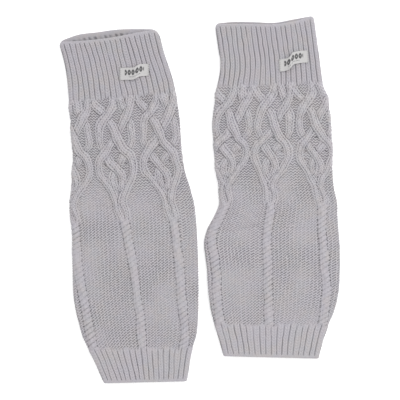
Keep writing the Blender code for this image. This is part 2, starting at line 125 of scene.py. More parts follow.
# %% [markdown]
# ## Where each garment lies
#
# A leg warmer laid flat has two side folds, and everything else can be placed between them. The
# solids have a row of corners half way up each fold, at a height of its own. Reading those
# corners back means that the knitting sits exactly on its solid. A place on the front is then two
# numbers: how far across it is, from 0 at the left fold to 1 at the right one, and how far down
# it is from the top edge. The corners of the mouth are rounded, so there the folds start a little
# late, and each fold is carried on to where the top edge would be without its rounding.

# %% Reading the side folds from the solids
STRETCHES = ["top_cuff", "cable_band", "leg", "ankle_cuff"]
FOLD_HEIGHT = 2.52
MOUTH_DEPTH = 45.0
TINY = 0.01


def points_of(mesh):
    """The places of a mesh's points in metres, a row each."""
    points = np.empty(len(mesh.vertices) * 3)
    mesh.vertices.foreach_get("co", points)
    return points.reshape(-1, 3)


def fold_sections(node):
    """The ends of a solid's sections, a row for each: left x, left y, right x, right y."""
    points = points_of(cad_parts[node].data) / MM
    on_fold = points[np.abs(points[:, 2] - FOLD_HEIGHT) < TINY]
    on_fold = np.unique(on_fold[:, :2].round(2), axis=0)
    is_left = on_fold[:, 0] < on_fold[:, 0].mean()
    left, right = on_fold[is_left], on_fold[~is_left]
    left, right = left[left[:, 1].argsort()[::-1]], right[right[:, 1].argsort()[::-1]]
    return np.hstack([left, right])


class LegWarmer:
    """A map from (across, down) to a place on the surface, with the sizes of one garment."""

    def __init__(self, side, spec):
        self.side, self.spec = side, spec
        rows, seams = [], [0]
        for stretch in STRETCHES:
            ends = list(fold_sections(f"{side}_{stretch}"))
            if rows:
                rows[-1] = (rows[-1] + ends.pop(0)) / 2
            rows += ends
            seams.append(len(rows) - 1)
        rows = np.array(rows)
        middle = (rows[:, :2] + rows[:, 2:]) / 2
        steps = np.hypot(*np.diff(middle, axis=0).T)
        below_corners = np.concatenate([[0.0], np.cumsum(steps)])
        late = np.mean(spec["corners"])
        self.downs = np.where(below_corners + late < MOUTH_DEPTH,
                              below_corners / (1 - late / MOUTH_DEPTH), below_corners + late)
        self.folds = [self.fold(rows[:, :2], spec["corners"][0]),
                      self.fold(rows[:, 2:], spec["corners"][1])]
        self.seams = self.downs[seams]
        self.length = self.seams[-1]
        self.cuff_foot, self.band_foot, self.ankle_top = self.seams[1:4]

    def fold(self, points, radius):
        """One fold as places and points, carried on past its rounded corner to the top edge."""
        places = self.downs + radius * np.clip(1 - self.downs / MOUTH_DEPTH, 0, 1)
        lean = (points[1] - points[0]) / (places[1] - places[0])
        return np.append(0.0, places), np.vstack([points[0] - lean * places[0], points])

    def width(self, down):
        left_x, left_y, right_x, right_y = self.ends(down)
        return np.hypot(right_x - left_x, right_y - left_y)

    def ends(self, down):
        return [curve_through(places, points[:, k], down)
                for places, points in self.folds for k in (0, 1)]

    def place(self, across, down):
        """The point on the surface, also a little beyond the two open ends."""
        left_x, left_y, right_x, right_y = self.ends(down)
        run_x, run_y = right_x - left_x, right_y - left_y
        width = np.hypot(run_x, run_y)
        over = down - np.clip(down, 0.0, self.length)
        return (left_x + run_x * across + run_y / width * over,
                left_y + run_y * across - run_x / width * over)


# %% [markdown]
# ## The sizes of the two garments
#
# The two were knitted to one pattern but don't lie alike: one has slipped and creased a little
# more than the other. So each has its own tables. The mouth table says how far the front edge
# sags and how far the back edge stands up past it. The column table says where the middle lines
# of the three cables in front run, as parts of the width, with place 0 at the foot of the top
# cuff, 1 at the foot of the cable band and 2 at the ankle cuff. A crease runs from one point to
# another, with its lift and half its width.

# %% Tables for the left and the right leg warmer
GARMENTS = {
    "left": {
        # across, front dip, back rise
        "mouth": [(0, 0, 0.5), (0.2, 2.2, 6), (0.4, 3, 6.2), (0.6, 2.4, 6.4),
                  (0.8, 0.6, 4), (1, 0, 0.5)],
        "corners": (6.5, 8),
        # place, left, centre, right
        "columns": [(0, -0.03, 0.364, 0.772), (0.37, -0.014, 0.379, 0.772),
                    (1, 0.02, 0.415, 0.806), (1.4, 0.045, 0.476, 0.841),
                    (1.7, 0.085, 0.515, 0.867), (2, 0.06, 0.517, 0.91)],
        "crossing": 0.37,
        # x0, y0, x1, y1, lift, half width
        "creases": [(-37, -44, -27, -150, -0.5, 6), (-148, -60, -120, -175, 0.4, 14),
                    (-160, 150, -120, 108, -0.3, 9), (-100, -186, -30, -183, 0.5, 9)],
        "seed": 11,
    },
    "right": {
        "mouth": [(0, 0.8, 0.5), (0.2, 2.4, 0.9), (0.4, 4.6, -1.4), (0.6, 6.6, -4),
                  (0.8, 4.6, -1.8), (1, 0, 0.5)],
        "corners": (5.5, 4),
        "columns": [(0, 0.13, 0.495, 0.85), (0.41, 0.149, 0.494, 0.845),
                    (1, 0.066, 0.447, 0.865), (1.12, 0.06, 0.437, 0.865),
                    (1.3, 0.056, 0.46, 0.867),
                    (1.7, 0.072, 0.457, 0.895), (2, 0.056, 0.475, 0.935)],
        "crossing": 0.41,
        "creases": [(12, -35.5, 34.5, -39.1, -1.3, 2.8), (39.5, -38.9, 67, -32, -1.3, 2.8),
                    (30, -30, 62, -26, 0.9, 5),
                    (40, -5, 25, -33, -0.9, 4), (12, -44, 30, -47, 0.9, 8),
                    (30, -12, 70, -20, 0.6, 8), (150, -20, 156, -120, -0.4, 7),
                    (40, -154, 135, -156, 0.5, 9)],
        "seed": 23,
    },
}

garments = {side: LegWarmer(side, spec) for side, spec in GARMENTS.items()}
for garment in garments.values():
    print(garment.side, "seams at", garment.seams.round(1), "mm down")

# %% [markdown]
# ## Round the tube
#
# Cut across, a flattened tube is a long flat ring: the front layer, a round fold, the back layer
# and another fold. Each sample of that ring holds where it lies along the middle line, which way
# its outside faces, and whether it belongs to the front. The place round the knitting goes from
# 0 to 1 over the front and on to 2 over the back, so that ribs and rows of stitches run on
# through the folds and meet themselves. The front gets the most samples, because it is seen.

# %% The samples of one section
FRONT_STEPS = 238
FOLD_STEPS = 7
BACK_STEPS = 60
HALF_HEIGHT = 3.0


class Section:
    """Samples round a flattened tube: the front from left to right, then the back."""

    def __init__(self):
        front = np.linspace(0, 1, FRONT_STEPS + 1)
        back = np.linspace(1, 0, BACK_STEPS + 1)
        turn = np.linspace(0, math.pi, FOLD_STEPS + 1)[1:-1]
        nothing, one = np.zeros, np.ones
        fold = len(turn)
        self.flat = np.concatenate([front, one(fold), back, nothing(fold)])
        angle = np.concatenate([nothing(len(front)), turn, np.full(len(back), math.pi),
                                -turn[::-1]])
        self.face_side, self.face_up = np.sin(angle), np.cos(angle)
        self.front = (1 + self.face_up) / 2
        # the place round is 'whole' turns plus 'extra' half heights over the width
        extra_back = np.linspace(math.pi - 1, 1 - math.pi, BACK_STEPS + 1)
        self.whole = np.concatenate([front, one(fold), 1 + np.linspace(0, 1, BACK_STEPS + 1),
                                     np.full(fold, 2.0)])
        self.extra = np.concatenate([1 - 2 * front, turn - 1, extra_back, 1 - turn[::-1]])
        self.count = len(self.flat)

    def along(self, width):
        """How far each sample is from the left fold, for a column of widths."""
        return HALF_HEIGHT + (width - 2 * HALF_HEIGHT) * self.flat

    def around(self, width):
        """The place of each sample round the knitting, from 0 to 2."""
        return self.whole + self.extra * HALF_HEIGHT / width


section = Section()
print(section.count, "samples round the tube")

# %% [markdown]
# ## Unevenness
#
# Nothing knitted is perfectly even: rows wander, and one stitch is a little fuller than the next.
# A lattice of seeded random numbers, smoothly filled in, gives soft unevenness that closes on
# itself round the tube and is the same on every run. All kinds of it stand in one table, where
# the strength of each can be weighed against the others.

# %% Soft unevenness
LATTICE_LENGTH = 600.0
CELLS_ABOVE = 4
# strength, cells round the tube, length of a cell, lattice
UNEVEN = {
    "rib sway": (0.13, 34, 26, 0), "rib tremble": (0.05, 80, 9, 1),
    "rib fullness": (0.07, 80, 14, 2), "rib course": (0.5, 20, 30, 3),
    "rib opening": (0.5, 46, 22, 4),
    "purl sway": (0.35, 26, 30, 100), "purl drift": (0.30, 22, 24, 101),
    "purl tremble": (0.13, 110, 5, 102), "purl fullness": (0.22, 110, 3.6, 103),
    "purl lean": (0.3, 10, 60, 104), "purl patches": (0.32, 14, 26, 105),
    "strand sway": (1.7, 26, 13, 400), "strand lumps": (0.42, 64, 6, 401),
    "strand thickness": (0.13, 40, 9, 402),
    "twist turn": (0.2, 12, 22, 200), "twist lumps": (0.42, 64, 6, 210),
    "twist sway": (1.02, 26, 13, 220), "twist pull": (0.25, 12, 30, 230),
    # the last kind varies the painted highlight on the cables
    "border": (0.6, 60, 300, 300), "shine": (0.5, 50, 9, 310),
}


def lattice_noise(around, down, cells_round, cell_length, seed):
    """Soft noise from -1 to 1, with so many cells round the tube."""
    cells_down = int(LATTICE_LENGTH / cell_length)
    lattice = np.random.default_rng(seed).uniform(-1, 1, (cells_down, cells_round))
    x = around / 2 % 1.0 * cells_round
    y = np.clip(down / cell_length + CELLS_ABOVE, 0, cells_down - 2)
    column, row = x.astype(int) % cells_round, y.astype(int)
    u, v = fade(x - np.floor(x), 0, 1), fade(y - np.floor(y), 0, 1)
    next_one = (column + 1) % cells_round
    upper = lattice[row, column] * (1 - u) + lattice[row, next_one] * u
    lower = lattice[row + 1, column] * (1 - u) + lattice[row + 1, next_one] * u
    return upper * (1 - v) + lower * v


def unevenness(garment, around, down):
    """A function that gives any kind of unevenness by name, at these points of a garment."""
    def kind(name, number=0):
        strength, cells_round, cell_length, lattice = UNEVEN[name]
        seed = garment.spec["seed"] + lattice + number
        return strength * lattice_noise(around, down, cells_round, cell_length, seed)
    return kind


print(len(UNEVEN), "kinds of unevenness")

# %% [markdown]
# ## Ribs
#
# The cuffs are one-by-one rib: a column of knit stitches stands up, and the purl column beside it
# sinks out of sight. A rib is plump, with a narrow valley on each side. Along its middle runs a
# faint groove, where the two legs of every stitch meet in a V. All of this is a height above the
# plain cloth, which can be worked out at every point at once.

# %% The height of the ribs
COURSE = 3.4
LEG_SLANT = 0.7
LEG_DEPTH = 0.45
GROOVE_WIDTH = 0.3
RIB_HEIGHT = 1.5
RIB_SHARE = 0.95
RIB_SQUARENESS = 2.5
RIB_STITCH = 0.5
RIB_OPENING = 0.05
TOP_RIBS = 20
ANKLE_RIBS = 18


def plump(away, squareness):
    """The round back of a rib or strand: 1 in the middle, and 0 at its edge, where away is 1."""
    return np.sqrt(np.clip(1 - away ** squareness, 0, 1))


def stitch_legs(across_wale, along, depth):
    """The two slanting legs of each knit stitch in a column, across_wale from 0 to 1."""
    edge = np.abs(2 * across_wale - 1)
    course = along / COURSE - LEG_SLANT * (1 - edge)
    legs = np.cos(2 * math.pi * course) * (1 - edge ** 2 / 2)
    return depth * (LEG_DEPTH * legs - hump(edge, GROOVE_WIDTH))


def ribs(garment, around, down, count):
    uneven = unevenness(garment, around, down)
    wale = (around * count + uneven("rib sway", count) + uneven("rib tremble", count)) % 1.0
    body = plump(np.abs(2 * wale - 1) / RIB_SHARE, RIB_SQUARENESS)
    fullness = 1 + uneven("rib fullness", count)
    legs = stitch_legs(wale, down + uneven("rib course", count) * COURSE, RIB_STITCH)
    opened = RIB_OPENING + uneven("rib opening", count)
    return RIB_HEIGHT * body * fullness - opened * (1 - body) + legs * body


print(TOP_RIBS, "ribs in front at the top,", ANKLE_RIBS, "at the ankle")

# %% [markdown]
# ## The purl ground
#
# Between the cables the fabric is purl: each row of yarn shows as a wavy line, up over one stitch
# and down under the next, with dark gaps between the rows. The wave leans a little, because the
# yarn is twisted, and that lean draws the fine slanting hatching that runs over the whole leg.

# %% The height of the purl rows
GROUND_WALES = 35
GROUND_COURSE = 3.2
GROUND_DEPTH = 1.25
GROUND_MIDDLE = 0.45
GROUND_FULLNESS = 1.05
LEVEL_WAVE, LEVEL_RISE = 0.50, 0.54
LEANING_WAVE, LEANING_RISE = 0.62, 0.74
# where the rows begin to lean and where they lean fully, from the foot of the cable band
LEAN_START, LEAN_END = -40.0, 20.0
LEAN_SHARE = 0.8
LEAN_CLOSES = 0.8
LEAN_FLATTENS = 0.24


def purl_ground(garment, around, down):
    uneven = unevenness(garment, around, down)
    leaning = fade(down, garment.band_foot + LEAN_START, garment.band_foot + LEAN_END) * (
        LEAN_SHARE + uneven("purl lean"))
    wave = LEVEL_WAVE + (LEANING_WAVE - LEVEL_WAVE) * leaning
    rise = LEVEL_RISE + (LEANING_RISE - LEVEL_RISE) * leaning
    wale = (around * GROUND_WALES + uneven("purl sway")) % 1.0
    climb = np.where(wale < rise, wale / rise, (1 - wale) / (1 - rise))
    row = down / GROUND_COURSE + uneven("purl drift") + uneven("purl tremble") + wave * (
        fade(climb, 0, 1) - 0.5)
    gap = 0.5 - 0.5 * np.cos(2 * math.pi * row)
    open_gap = np.where(wale < rise, 1.0, 1 - LEAN_CLOSES * leaning)
    patchy = GROUND_FULLNESS - LEAN_FLATTENS * leaning + uneven("purl patches")
    return GROUND_DEPTH * patchy * (GROUND_MIDDLE + uneven("purl fullness") - gap * open_gap)


print(GROUND_WALES, "purl stitches across the front, a row every", GROUND_COURSE, "mm")

# %% [markdown]
# ## The crossing cables
#
# Under the top cuff four strands to a repeat weave over and under each other, and the repeat goes
# round the leg five times. Each strand is two columns of knit stitches on the purl ground. Its
# path is a short table: how far above or below the main crossing it is, how far it has moved
# sideways, and whether it rides over (+) or dives under (-) the strand that it meets. A strand
# that rides over swells a little and presses the one beneath it down along its sides, which draws
# the crisp dark line round every crossing. The yarn is thick in one place and thin in another, so
# the strands are too.

# %% Strand tables: drop, offset and lift
STRANDS = {
    "outer_west": [
        (-46, 27, 0.4), (-34, 23, 0.4), (-24, 17, 0.6), (-12, 9.5, 0), (-2, 3.5, -1.2),
        (6, -2.5, -0.6), (14, -9.5, 0.5), (22, -16, 0.6), (31, -20, 0), (41, -19.5, 0),
        (50, -15, 0), (59, -10, 0), (67, -6.8, 0), (75, -5, 0), (84, -5.6, 0.3),
        (92, -4.6, 0.2), (100, -2.6, 0),
    ],
    "outer_east": [
        (-46, -19, -0.4), (-38, -15.5, 0.5), (-30, -9.5, 0.3), (-24, -6, -0.8), (-16, -1, 0.2),
        (-4, 3.2, 0.8), (5, 7, 0.5), (13, 11, 0.6), (20, 16.5, 0.5), (28, 20.3, 0),
        (38, 20.8, 0), (46, 17.8, 0), (54, 12.8, 0), (62, 8, 0), (70, 3.6, 0.3),
        (78, 1.6, 0.4), (86, 3.2, 0), (94, 3.8, 0), (100, 2.4, 0),
    ],
    "inner_west": [
        (-46, 5, 0), (-37, 3, 0.2), (-28, -3.5, 0.8), (-20, -10.5, 0.4), (-12, -15, 0),
        (0, -16, 0), (9, -14.5, -0.5), (17, -11, -1.2), (26, -6.5, 0), (34, -1.5, 0.6),
        (42, 3.5, 0.4), (50, 5.5, 0), (59, 4, -0.3), (70, 1, -1.2),
    ],
    "inner_east": [
        (-46, 13, 0.2), (-36, 14.5, 0.6), (-25, 17, -1.2), (-14, 21.5, -0.2), (0, 22.5, 0),
        (8, 20.5, -0.4), (16, 14.5, -1.2), (26, 7.5, 0), (34, 2, -1.2), (42, -3.5, -0.2),
        (50, -6, 0), (59, -4.5, -0.3), (70, -1, -1.2),
    ],
}
# drop and offset of the open holes beside the crossings
EYELETS = [(31, -12.5), (31, 12.5), (12.5, 2.5)]
EYELET_RADIUS = 1.4
EYELET_DEPTH = 1.8
BAND_ABOVE = 46.0
BAND_BELOW = 80.0
print(sum(len(table) for table in STRANDS.values()), "rows in the strand tables")

# %% Where the cables and their strands run
ROPE_HALF_WIDTH = 4.7
ROPE_END = 3.0
SWELL = 0.14
TABLE_STEP = 0.5


def cable_middles(garment, down):
    """The middle lines of the five cables round the tube, as places round it."""
    band = (down - garment.cuff_foot) / (garment.band_foot - garment.cuff_foot)
    leg = 1 + (down - garment.band_foot) / (garment.ankle_top - garment.band_foot)
    at = np.where(down < garment.band_foot, band, leg)
    places, *lines = np.array(garment.spec["columns"]).T
    left, centre, right = [curve_through(places, line, at) for line in lines]
    behind = (left + 2 - right) / 3
    return [left, centre, right, right + behind, right + 2 * behind]


def beside_cables(garment, around, down):
    """For each cable, how far each point is beside its middle line, the short way round."""
    width = garment.width(down[:, :1])
    return [((around - middle + 1) % 2 - 1) * width
            for middle in cable_middles(garment, down[:, :1])]


def strands_near(garment, around, down, drop):
    """For each strand its lift, how far points are beside it and along it, and its ends."""
    uneven = unevenness(garment, around, down)
    sway, thickness = uneven("strand sway"), 1 + uneven("strand thickness")
    strands = []
    for side in beside_cables(garment, around, down):
        side = side + sway
        for table in STRANDS.values():
            drops, offsets, lifts = np.array(table, float).T
            fine = np.arange(drops[0], drops[-1] + TABLE_STEP, TABLE_STEP)
            path = curve_through(drops, offsets, fine)
            leans = np.gradient(path, fine)
            lengths = np.cumsum(np.hypot(1, leans)) * TABLE_STEP
            offset, lean, length = [np.interp(drop, fine, v) for v in (path, leans, lengths)]
            lift = curve_through(drops, lifts, drop)
            away = (side - offset) / np.hypot(1, lean) / thickness / (1 + SWELL * lift)
            ends = fade(drop, fine[0] - ROPE_END, fine[0]) * (
                1 - fade(drop, fine[-1], fine[-1] + ROPE_END))
            strands.append((lift, away, length + away * lean, ends))
    return strands


# %% Laying the strands over the ground
ROPE_HEIGHT = 2.3
ROPE_SQUARENESS = 2.4
ROPE_SINK = 0.1
ROPE_STITCH = 1.15
ROPE_SEAM, ROPE_SEAM_WIDTH = 0.6, 0.7
PRESS = 1.1
PRESS_WIDTH = 0.8
# the difference in lift from which a strand is fully over the other one
FULLY_OVER = 0.5
FAR = 99.0


def eyelets(garment, around, down, drop):
    """How deep the open holes are at each point."""
    holes = np.zeros_like(around)
    for side in beside_cables(garment, around, down):
        for hole_drop, offset in EYELETS:
            holes += EYELET_DEPTH * hump(np.hypot(drop - hole_drop, side - offset),
                                         EYELET_RADIUS)
    return holes


def crossing_cables(garment, around, down, ground):
    """The ground with the strands laid over it, and where the strands are."""
    crossing = garment.cuff_foot + garment.spec["crossing"] * (
        garment.band_foot - garment.cuff_foot)
    above = (down - crossing) / (crossing - garment.cuff_foot) * BAND_ABOVE
    below = (down - crossing) / (garment.band_foot - crossing) * BAND_BELOW
    drop = np.where(down < crossing, above, below)[:, :1]
    lumps = 1 + unevenness(garment, around, down)("strand lumps")
    strands = strands_near(garment, around, down, drop)
    best, top_away, top_along = ground, np.full_like(ground, FAR), np.zeros_like(ground)
    for lift, away, along, ends in strands:
        t = np.abs(away) / ROPE_HALF_WIDTH
        height = (ROPE_HEIGHT * lumps + lift) * plump(t, ROPE_SQUARENESS) * ends - ROPE_SINK
        for other_lift, other_away, _, other_ends in strands:
            over = np.clip((other_lift - lift) / FULLY_OVER, 0, 1) * other_ends
            height -= PRESS * over * hump(np.abs(other_away) - ROPE_HALF_WIDTH, PRESS_WIDTH)
        wins = (t < 1) & (height > best)
        best = np.where(wins, height, best)
        top_away = np.where(wins, away, top_away)
        top_along = np.where(wins, along, top_along)
    wale = (top_away / ROPE_HALF_WIDTH + 1) % 1.0
    on_rope = np.abs(top_away) < ROPE_HALF_WIDTH
    texture = stitch_legs(wale, top_along, ROPE_STITCH)
    seam = ROPE_SEAM * hump(top_away, ROPE_SEAM_WIDTH)
    return best + (texture - seam) * on_rope - eyelets(garment, around, down, drop), on_rope


print("a strand is", 2 * ROPE_HALF_WIDTH, "mm wide and stands", ROPE_HEIGHT, "mm high")

# %% [markdown]
# ## The narrow cables of the leg
#
# From the foot of the band a narrow cable runs down each column. Two stitches are twisted over
# each other every second row, which stacks up plump little blocks that slant up to the right,
# with a thin dark line between each two. Where the cable was pulled while it was worn, the lines
# fade and the blocks run together. A clean valley separates the cable from the ground.

# %% The height of the narrow cables
TWIST_PITCH = 6.1
TWIST_SLANT = 0.6
TWIST_HEIGHT = 2.0
TWIST_DEPTH = 0.48
TWIST_HALF_WIDTH = 5.3
TWIST_STITCH = 0.4
TWIST_SINK = 0.5
BLOCK_SQUARENESS = 2.3
VALLEY_DEPTH, VALLEY_AWAY, VALLEY_WIDTH = 0.15, 0.8, 1.4
PINCH_DEPTH, PINCH_WIDTH, PINCH_LENGTH = 1.1, 0.9, 0.34


def narrow_cables(garment, around, down, ground):
    """The ground with the narrow cables on it, and where they are."""
    uneven = unevenness(garment, around, down)
    sway, lumps = uneven("twist sway"), 1 + uneven("twist lumps")
    height, on_cable = ground, np.zeros_like(ground)
    for k, side in enumerate(beside_cables(garment, around, down)):
        side = side + sway
        t = np.abs(side) / TWIST_HALF_WIDTH
        turn = ((down + TWIST_SLANT * side) / TWIST_PITCH + uneven("twist turn", k)) % 1.0
        from_middle = np.abs(2 * turn - 1)
        block, body = plump(from_middle, BLOCK_SQUARENESS), plump(t, ROPE_SQUARENESS)
        pulled = TWIST_DEPTH + uneven("twist pull", k)
        legs = stitch_legs((side / TWIST_HALF_WIDTH + 1) % 1.0, 2 * COURSE * turn, TWIST_STITCH)
        cable = (TWIST_HEIGHT * lumps * (1 - pulled * (1 - block)) + legs) * body
        valley = VALLEY_DEPTH * hump(side + TWIST_HALF_WIDTH + VALLEY_AWAY, VALLEY_WIDTH)
        holes = PINCH_DEPTH * hump(np.abs(side) - TWIST_HALF_WIDTH, PINCH_WIDTH) * hump(
            1 - from_middle, PINCH_LENGTH)
        height = np.where(t < 1, np.maximum(cable, height - TWIST_SINK), height - valley) - holes
        on_cable = np.maximum(on_cable, body)
    return height, on_cable


print("a block of a narrow cable is", TWIST_PITCH, "mm long")

# %% [markdown]
# ## One fabric from edge to edge
#
# Where one stitch pattern gives way to the next, the yarn simply runs on. So the heights of the
# four stretches are worked out for the whole garment at once and fade into each other over a row
# or two. Pieces cut from it later share their border exactly, and no seam shows. At the two open
# ends the last row is bound off, which rolls the edge into a smooth, slightly scalloped cord.

# %% The height of the stitches over a whole garment
CHANGE = 3.0
CORD = 3.0
CORD_HEIGHT = 1.0
SCALLOP = 0.1
# painted shade on the top cuff's ribs, and as much painted light on the ankle cuff's
RIB_SHADE = 0.09
# painted highlight on the crossing cables, and the share of it the narrow cables get
CABLE_PAINTED_LIGHT = 0.17
TWIST_PAINTED_LIGHT = 0.4
# how far the strands reach above the band and below it, and where they fade away below it
BAND_REACH = (8.0, 26.0)
BAND_FADE = (12.0, 22.0)


def stitches(garment, around, down):
    """The height above the plain cloth, in millimetres, and how much light is lost or gained."""
    uneven = unevenness(garment, around, down)
    ground = purl_ground(garment, around, down)
    top = ribs(garment, around, down, TOP_RIBS)
    ankle = ribs(garment, around, down, ANKLE_RIBS)
    twisted, on_twist = narrow_cables(garment, around, down, ground)
    crossed, on_rope = ground.copy(), np.zeros_like(ground)
    in_band = (down[:, 0] > garment.cuff_foot - BAND_REACH[0]) & (
        down[:, 0] < garment.band_foot + BAND_REACH[1])
    crossed[in_band], on_rope[in_band] = crossing_cables(
        garment, around[in_band], down[in_band], ground[in_band])
    below_band = fade(down - garment.band_foot, *BAND_FADE)
    body = crossed * (1 - below_band) + twisted * below_band
    # where the cables get a painted highlight
    on_cable = on_rope * (1 - below_band) + TWIST_PAINTED_LIGHT * on_twist * below_band
    wandering = down + CHANGE * uneven("border")
    from_cuff = fade(wandering, garment.cuff_foot - CHANGE, garment.cuff_foot + CHANGE)
    to_ankle = fade(wandering, garment.ankle_top - CHANGE, garment.ankle_top + CHANGE)
    height = top * (1 - from_cuff) + body * (from_cuff - to_ankle) + ankle * to_ankle
    shine = CABLE_PAINTED_LIGHT * on_cable * (1 + uneven("shine")) * (from_cuff - to_ankle)
    # painted shade on the top cuff, painted light on the ankle cuff and on the cables
    shade = RIB_SHADE * (1 - from_cuff - to_ankle) - shine
    to_edge = np.minimum(down, garment.length - down)
    count = np.where(down < garment.length / 2, TOP_RIBS, ANKLE_RIBS)
    cord = CORD_HEIGHT + SCALLOP * np.cos(4 * math.pi * around * count)
    return height + (cord - height) * (1 - fade(to_edge, CORD * 0.5, CORD)), shade


# %% [markdown]
# ## Slack, creases and the mouth
#
# The front layer isn't quite flat: it has a few soft creases, and at the top edge it stands off
# the back layer, so that one looks a little way into the mouth. Both open ends are drawn back a
# little, which leaves room for the bound-off edge to roll over.

# %% How the front layer is lifted and the mouth is shaped
MOUTH_GAPE = 1.3
MOUTH_FADE = 14.0
EDGE_BACK = 2.2


def lifted(garment, x, y, around, down):
    """How far the front layer is lifted off its plain height."""
    total = np.zeros_like(x)
    for x0, y0, x1, y1, lift, half_width in garment.spec["creases"]:
        run_x, run_y = x1 - x0, y1 - y0
        t = ((x - x0) * run_x + (y - y0) * run_y) / (run_x ** 2 + run_y ** 2)
        t = np.clip(t, 0, 1)
        total += lift * hump(np.hypot(x - x0 - t * run_x, y - y0 - t * run_y), half_width)
    arch = np.sin(math.pi * np.clip(around, 0, 1))
    return total * arch ** 0.5 + MOUTH_GAPE * arch * np.exp(-np.maximum(down, 0) / MOUTH_FADE)


def rounding(away, radius):
    """How far a rounded corner falls back, at so far in from the side."""
    short = np.clip(1 - away / radius, 0, 1)
    return radius * (1 - np.sqrt(1 - short ** 2))


def mouth_shift(garment, along, width, down, front):
    """How far down the stitches near the mouth have moved, on the front and on the back."""
    places, dips, rises = np.array(garment.spec["mouth"]).T
    across = np.clip(along / width, 0, 1)
    dip, rise = [curve_through(places, values, across) for values in (dips, rises)]
    left, right = garment.spec["corners"]
    corner = rounding(along, left) + rounding(width - along, right)
    depth = np.clip(1 - down / MOUTH_DEPTH, 0, 1)
    foot = np.clip(1 - (garment.length - down) / MOUTH_DEPTH, 0, 1)
    moved = dip * front - rise * (1 - front) + corner
    return (moved + EDGE_BACK) * depth - EDGE_BACK * foot


# %% [markdown]
# ## From heights to points
#
# Everything comes together in one function: a row of samples round the tube, at a distance down
# it and at a distance from the middle of the cloth, gives points in space. The back layer is the
# same knitting with its stitches pressed nearly flat, because it lies on the surface.

# %% Placing points round the tube
SIDE_INSET = 0.5
PRESSED = 0.55
PRESS_SOFTNESS = 1.2
LEAST_GAP = 0.1


def place_rows(garment, down, radius, over_edge=0.0):
    """Points for rows of samples: down is a column, radius the distance from mid-height."""
    width = garment.width(np.clip(down, 0, garment.length))
    along = section.along(width) + section.face_side * radius
    across = along / width
    around = section.around(width)
    shift = mouth_shift(garment, along, width, down, section.front)
    x, y = garment.place(across, down + shift + over_edge)
    lift = lifted(garment, x, y, around * (section.front > TINY), down)
    lift = np.maximum(lift, LEAST_GAP - 2 * radius)
    z = HALF_HEIGHT + section.face_up * radius + lift * section.front
    return np.stack([x, y, z], axis=-1)


def outer_radius(height):
    """From stitch heights to distances from mid-height: full in front, pressed behind."""
    in_front = HALF_HEIGHT + height
    behind = HALF_HEIGHT - PRESSED + PRESSED * np.tanh(height / PRESS_SOFTNESS)
    inset = SIDE_INSET * (1 - np.abs(section.face_up))
    return in_front * section.front + behind * (1 - section.front) - inset


# %% [markdown]
# ## Hollows in the knitting
#
# Light gets lost between stitches, and loose fibres make that softer and darker than plain
# geometry would, so that shade is painted into the wool's colour. Each point keeps a number that
# says how deep it lies in a hollow. A hollow is lower than both of its sides, so a valley between
# two ribs counts and the foot of a slope doesn't. A crest, higher than both of its sides, gets a
# number below 0. The wool's colour reads the number later: painted shade in the hollows and a
# painted highlight on the crests.

# %% How deep each point lies in a hollow
HOLLOW_REACH = 3
# a pit this deep gets the full painted shade
HOLLOW_DEPTH = 0.8


def beside_average(values, axis, way):
    """The average of the few neighbours on one side of each value."""
    padded = np.pad(values, HOLLOW_REACH, mode="edge")
    inner = (slice(HOLLOW_REACH, -HOLLOW_REACH),) * 2
    return sum(np.roll(padded, way * k, axis)[inner] for k in range(1, HOLLOW_REACH + 1)
               ) / HOLLOW_REACH


def painted_pit_and_crest_light(heights):
    """Painted shade and light: 1 for a deep hollow, 0 for a level place or a slope, below 0 for a
    crest.
    """
    sides = [(beside_average(heights, axis, 1), beside_average(heights, axis, -1))
             for axis in (0, 1)]
    lower = np.maximum(*[np.minimum(*pair) for pair in sides])
    higher = np.minimum(*[np.maximum(*pair) for pair in sides])
    pit, crest = np.clip(lower - heights, 0, None), np.clip(heights - higher, 0, None)
    return np.clip((pit - crest) / HOLLOW_DEPTH, -1, 1)


# %% [markdown]
# ## A tube with a wall, from a flat grid
#
# Knitting comes off the needles as a flat grid of loops and is grafted into a tube, and the mesh
# is made the same way. A grid primitive is added, its points are moved round the wall (outside,
# over the edge, inside and back), and the meeting edges are merged. The result is one closed
# wall, with the grid's own map as the flat cut of the cloth.

# %% Rows of the inside and of the open edges
INNER_STEP = 22.0
INNER_RADIUS = 0.4
INNER_RIB = 0.35
# painted shade over the whole inside of the tube
INSIDE_PAINTED_SHADE = 0.2
# how far in the inside shows at the mouth and at the foot, and how close its rows are there
MOUTH_SEEN, FOOT_SEEN, SEEN_STEP = 24.0, 12.0, 1.5
# cells round the tube, length of a cell and seed of the painted shadow spots inside, and how dark
# they are
SHADOW_SPOTS = (90, 5, 71)
SHADOW_SPOT_DARKNESS = 0.6
EDGE_BAND = 3.6
RIM_STEPS = 5
EDGE_TURN = 1.2


def rows_between(start, end, step):
    return np.linspace(start, end, max(2, round((end - start) / step)) + 1)[:, None]


def with_painted_shading(points, painted_shading):
    """The points with a fourth number each: how much painted shade (above 0) or painted light
    (below 0) they get.
    """
    return np.dstack([points, np.broadcast_to(painted_shading, points.shape[:2])])


def rim(garment, down, outer, inner, outward):
    """Rows that roll over an open edge, from the outer radius to the inner one."""
    angle = math.pi * np.arange(1, RIM_STEPS)[:, None] / RIM_STEPS
    radius = (outer + inner) / 2 + (outer - inner) / 2 * np.cos(angle)
    bulge = EDGE_TURN * np.sin(angle) * outward
    # no painted shade on the rolled edge
    return with_painted_shading(place_rows(garment, down + 0 * angle, radius, bulge), 0.0)


